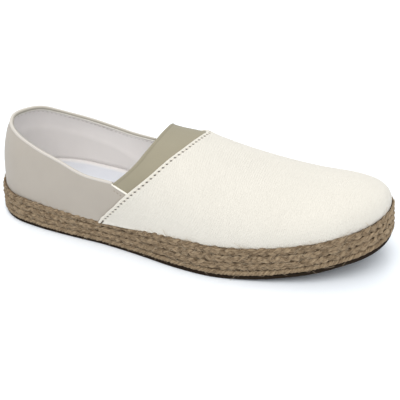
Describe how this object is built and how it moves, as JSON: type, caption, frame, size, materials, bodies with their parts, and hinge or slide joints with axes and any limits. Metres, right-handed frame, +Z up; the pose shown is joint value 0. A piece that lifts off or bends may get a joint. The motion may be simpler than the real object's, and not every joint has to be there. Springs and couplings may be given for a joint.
{
  "type": "espadrille",
  "caption": "Low slip-on espadrille with a canvas vamp, an elastic gore over the instep, a plain quarter, a braided jute sole and a thin rubber outsole.",
  "frame": {"origin": "on the ground under the middle of the shoe's box", "axes": "+X from the heel to the toe, +Z up, -Y towards the outer (lateral) side"},
  "size_m": [0.28, 0.1028, 0.074],
  "materials": {
    "outsole_rubber": "dull dark rubber",
    "jute": "rough braided natural fibre",
    "insole_fabric": "smooth matt textile",
    "lining_fabric": "smooth matt textile",
    "quarter_fabric": "smooth matt textile, slightly napped",
    "vamp_canvas": "matt twill canvas",
    "gore_elastic": "fine ribbed elastic",
    "binding_tape": "folded cotton tape"
  },
  "bodies": {
    "root": {"outsole": "outsole_rubber", "jute_midsole": "jute", "insole": "insole_fabric", "upper": "lining_fabric", "quarter": "quarter_fabric", "vamp": "vamp_canvas", "gore": "gore_elastic", "collar_binding": "binding_tape"}
  },
  "joints": []
}
